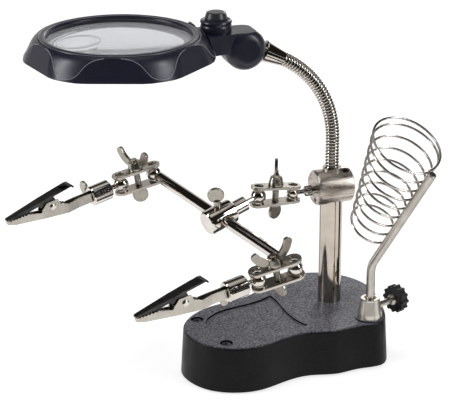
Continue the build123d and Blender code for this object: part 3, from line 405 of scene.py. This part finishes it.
def sharp_chains(node, keep):
    """Chains of points along a node's sharp edges, open ones first."""
    mesh = bmesh.new()
    mesh.from_mesh(NODES[node].data)
    bmesh.ops.remove_doubles(mesh, verts=mesh.verts, dist=1e-6)
    links = sharp_links(mesh, keep)
    mesh.verts.ensure_lookup_table()
    places = {index: mesh.verts[index].co.copy() for index in links}
    mesh.free()
    chains, used = [], set()
    for start in sorted(links, key=lambda index: (len(links[index]), index)):
        chain, onward = [], [start]
        while onward and onward[0] not in used:
            chain.append(onward[0])
            used.add(onward[0])
            onward = [index for index in links[chain[-1]] if index not in used]
        chains.append([places[index] for index in chain])
    return [chain for chain in chains if len(chain) > LEAST_POINTS]


def neighbours(chain, closed):
    """Points before and after each point of a chain."""
    before = [chain[-1] if closed else chain[0], *chain[:-1]]
    after = [*chain[1:], chain[0] if closed else chain[-1]]
    return before, after


def edge_bead(name, chain, radius, node, material=PAINTED_EDGE_HIGHLIGHT):
    """Fine rounded bead along a chain of points, where an edge of a node catches the light, by default in the
    painted highlight colour.
    """
    closed = (chain[0] - chain[-1]).length < LOOP_GAP
    for _ in range(SMOOTHINGS):
        before, after = neighbours(chain, closed)
        chain = [(back + here * 2 + front) / 4 for back, here, front in zip(before, chain, after)]
    frames = []
    for back, front in zip(*neighbours(chain, closed)):
        along = (front - back).normalized()
        side = along.cross(Vector((0, 0, 1))).normalized()
        frames.append((side, side.cross(along)))
    points, faces = tube_mesh(chain, frames, radius, BEAD_SIDES, closed)
    piece(name, points, faces, material, BODY_OF[node])


def on_skirt_side(at):
    """True on the outside of the skirt, away from its foot and its top."""
    between = skirt_low[2] + FOOT_MARGIN < at.z < skirt_high[2] - TOP_MARGIN
    return between and (at - LENS_CENTRE).xy.length > RING_REACH


def on_neck_top(at):
    """True at the flat top of the knuckle."""
    return at.z > neck_top - KNUCKLE_TOP and (at - LENS_CENTRE).xy.length > KNUCKLE_REACH


def circle_about(centre, radius, steps, height_at):
    """Points round a circle as seen from above, their heights a function of their place."""
    points = []
    for step in range(steps):
        angle = tau * step / steps
        x, y = centre.x + radius * cos(angle), centre.y + radius * sin(angle)
        points.append(Vector((x, y, height_at(x, y))))
    return points


# Painted highlight beads along the sharp edges of the skirt's arches and the knuckle's top.
for node, keep in (("lens_skirt", on_skirt_side), ("neck_upper_shell", on_neck_top)):
    for number, chain in enumerate(sharp_chains(node, keep)):
        edge_bead(f"{node}_edge_{number}", chain, SKIRT_BEAD, node)

# Radius of each painted highlight bead on the lens ring, and its drop below the ring's top, in mm.
RIM_BEADS = {"lens_ring_inner_edge": (45.4, 0.45), "lens_ring_outer_edge": (48.55, 0.75)}
for name, (radius, drop) in RIM_BEADS.items():
    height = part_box("lens_ring")[1][2] - drop * MM
    rim = circle_about(LENS_CENTRE, radius * MM, RIM_POINTS, lambda x, y: height)
    edge_bead(name, rim, RIM_BEAD, "lens_ring")

# ---------------------------------------------------------------- painted dark outline of the spot lens
LENS_R, DOME_HEIGHT, BEAD_SINK = 45.2 * MM, 3.0 * MM, 0.05 * MM
SPOT_POINTS = 80
LENS_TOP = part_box("main_lens")[1][2]
# Radius and thickness of each grey line round the spot lens, a painted dark reflection of its edge, in mm.
SPOT_LINES = {"spot_lens_edge": (13.4, 0.22), "spot_lens_inner_edge": (11.2, 0.12)}


def dome_height(x, y):
    """Height just under the domed top of the main lens."""
    reach = (Vector((x, y)) - LENS_CENTRE.xy).length
    return LENS_TOP - DOME_HEIGHT * (reach / LENS_R) ** 2 - BEAD_SINK


lens = NODES["main_lens"]
spot = min((lens.matrix_world @ vertex.co for vertex in lens.data.vertices), key=lambda at: at.z)
for name, (radius, width) in SPOT_LINES.items():
    outline = circle_about(spot, radius * MM, SPOT_POINTS, dome_height)
    edge_bead(name, outline, width * MM, "main_lens", PAINTED_LENS_LINE)

# ---------------------------------------------------------------- softened edges
EDGE_ANGLE, WELD_DISTANCE = 30, 1e-6
# Width in mm and segments of the rounding, by a node's name or its ending.
ROUNDING = {
    "_wing_nut": (0.45, 3), "_thumbscrew": (0.15, 2), "cross_clamp": (0.3, 3), "drum_clamp": (0.3, 3),
    "_upper_jaw": (0.25, 3), "_lower_jaw": (0.14, 2), "lens_skirt": (0.5, 3), "lens_ring": (0.5, 3),
    "neck_upper_shell": (0.5, 3), "neck_lower_shell": (0.5, 3),
}  # fmt: skip


def softened(name, width, segments):
    """Copy of a CAD node with its edges rounded, standing for it."""
    node = NODES[name]
    copy = node.copy()
    copy.data = node.data.copy()
    copy.name = name + "_soft"
    copy.parent = None
    copy.matrix_world = node.matrix_world
    bpy.context.scene.collection.objects.link(copy)
    weld = copy.modifiers.new("weld", "WELD")
    weld.merge_threshold = WELD_DISTANCE
    bevel = copy.modifiers.new("bevel", "BEVEL")
    bevel.width = width
    bevel.segments = segments
    bevel.limit_method = "ANGLE"
    bevel.angle_limit = radians(EDGE_ANGLE)
    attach(copy, BODY_OF[name])
    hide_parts(name)


for name in NODES:
    for ending, (width, segments) in ROUNDING.items():
        if name.endswith(ending):
            softened(name, width * MM, segments)

# ---------------------------------------------------------------- floor
FLOOR_HALF, FLOOR_DROP = 4, 0.0002
FLOOR_CORNERS = [(x * FLOOR_HALF, y * FLOOR_HALF, 0) for x, y in ((-1, -1), (1, -1), (1, 1), (-1, 1))]
floor_material, _, floor_shader = new_material("floor")
floor_shader.inputs["Base Color"].default_value = (0.42, 0.42, 0.42, 1)
floor_shader.inputs["Roughness"].default_value = 0.9
floor_shader.inputs["Specular IOR Level"].default_value = 0.0
floor_shader.inputs["Emission Color"].default_value = (1, 1, 1, 1)
floor_shader.inputs["Emission Strength"].default_value = 0.74
floor_mesh = bpy.data.meshes.new("floor")
floor_mesh.from_pydata(FLOOR_CORNERS, [], [(0, 1, 2, 3)])
floor_mesh.materials.append(floor_material)
floor = bpy.data.objects.new("floor", floor_mesh)
floor.location.z = cad_low.z - FLOOR_DROP
bpy.context.scene.collection.objects.link(floor)

# ---------------------------------------------------------------- lights
MIDDLE = Vector((0, 0, 0.12))
COOL, WHITE = (0.95, 0.97, 1), (1, 1, 1)


def lamp(name, place, size, power, colour):
    """Rectangular soft light aimed at the middle of the stand."""
    data = bpy.data.lights.new(name, "AREA")
    data.shape = "RECTANGLE"
    data.size, data.size_y = size
    data.energy = power
    data.color = colour
    obj = bpy.data.objects.new(name, data)
    obj.location = place
    obj.rotation_euler = (MIDDLE - Vector(place)).to_track_quat("-Z", "Y").to_euler()
    bpy.context.scene.collection.objects.link(obj)
    return obj


overhead = lamp("overhead", (-0.1, 0.1, 1.3), (0.8, 0.6), 9.0, WHITE)
overhead.visible_glossy = False
lamp("left", (-1.27, 0.46, 0.6), (0.25, 0.9), 9.0, COOL)
lamp("right", (0.55, -1.2, 0.75), (0.25, 0.9), 9.0, COOL)
lamp("back_right", (1.0, 0.9, 0.6), (0.3, 0.9), 3.0, WHITE)

# ---------------------------------------------------------------- black cards, seen only in polished metal
CARD_LIFT = 0.001
# First and last azimuth of each wedge on the floor, in degrees, and its reach in metres.
WEDGES = ((103, 113), (273, 279), (318, 342))
WEDGE_REACH = (0.07, 2.0)
FRONT_AZIMUTHS = range(160, 305, 12)
FRONT_REACH = (0.36, 2.5)
card_material, _, card_shader = new_material("card")
card_shader.inputs["Base Color"].default_value = (0.01, 0.01, 0.01, 1)
card_shader.inputs["Specular IOR Level"].default_value = 0.0


def card(name, azimuths, reach, height):
    """Black sector of a ring on the floor, which only shows as a dark band in polished metal."""
    near, far = reach
    polar = [(near, azimuth) for azimuth in azimuths] + [(far, azimuth) for azimuth in reversed(azimuths)]
    corners = [(radius * cos(radians(turn)), radius * sin(radians(turn)), height) for radius, turn in polar]
    mesh = bpy.data.meshes.new(name)
    mesh.from_pydata(corners, [], [tuple(range(len(corners)))])
    mesh.materials.append(card_material)
    obj = bpy.data.objects.new(name, mesh)
    for sight in ("camera", "diffuse", "transmission", "volume_scatter", "shadow"):
        setattr(obj, "visible_" + sight, False)
    bpy.context.scene.collection.objects.link(obj)


for number, wedge in enumerate(WEDGES):
    card(f"card_{number}", wedge, WEDGE_REACH, floor.location.z + CARD_LIFT)
card("card_front", FRONT_AZIMUTHS, FRONT_REACH, floor.location.z + 2 * CARD_LIFT)

# ---------------------------------------------------------------- world: bright behind, else mostly dark
BEHIND = (0.5736, 0.8192, -0.55)
HEIGHT_STOPS, BEHIND_STOPS = (0.86, 0.97), (0.42, 0.62)
WORLD_DARK, WORLD_BRIGHT = (0.02, 0.018, 0.016, 1), (0.95, 0.93, 0.90, 1)
world = bpy.data.worlds.new("studio")
bpy.context.scene.world = world
world.use_nodes = True
sky = world.node_tree


def sky_ramp(value, stops):
    """Dark to bright ramp of a value of the sky."""
    node = sky.nodes.new("ShaderNodeValToRGB")
    for stop, position, colour in zip(node.color_ramp.elements, stops, (WORLD_DARK, WORLD_BRIGHT)):
        stop.position = position
        stop.color = colour
    sky.links.new(value, node.inputs["Fac"])
    return node.outputs["Color"]


place = sky.nodes.new("ShaderNodeTexCoord")
split = sky.nodes.new("ShaderNodeSeparateXYZ")
backward = sky.nodes.new("ShaderNodeVectorMath")
backward.operation = "DOT_PRODUCT"
backward.inputs[1].default_value = BEHIND
lighter = sky.nodes.new("ShaderNodeMix")
lighter.data_type = "RGBA"
lighter.blend_type = "LIGHTEN"
lighter.inputs["Factor"].default_value = 1.0
background = sky.nodes["Background"]
background.inputs["Strength"].default_value = 0.75
sky.links.new(place.outputs["Generated"], split.inputs["Vector"])
sky.links.new(place.outputs["Generated"], backward.inputs[0])
sky.links.new(sky_ramp(split.outputs["Z"], HEIGHT_STOPS), lighter.inputs["A"])
sky.links.new(sky_ramp(backward.outputs["Value"], BEHIND_STOPS), lighter.inputs["B"])
sky.links.new(lighter.outputs["Result"], background.inputs["Color"])

# ---------------------------------------------------------------- camera
CAMERA_AT = Vector((-0.6867, -0.8633, 0.5128))
RIGHT = Vector((0.8192, -0.5736, 0)).normalized()
FORWARD = Vector((0.5373, 0.7673, -0.3502)).normalized()
camera_data = bpy.data.cameras.new("camera")
camera_data.lens = 142.105
camera_data.sensor_width = 36
camera_data.clip_start = 0.01
camera = bpy.data.objects.new("camera", camera_data)
facing = Matrix((RIGHT, RIGHT.cross(FORWARD), FORWARD * -1)).transposed()
camera.matrix_world = Matrix.Translation(CAMERA_AT) @ facing.to_4x4()
bpy.context.scene.collection.objects.link(camera)
bpy.context.scene.camera = camera
bpy.context.scene.view_settings.view_transform = "Standard"
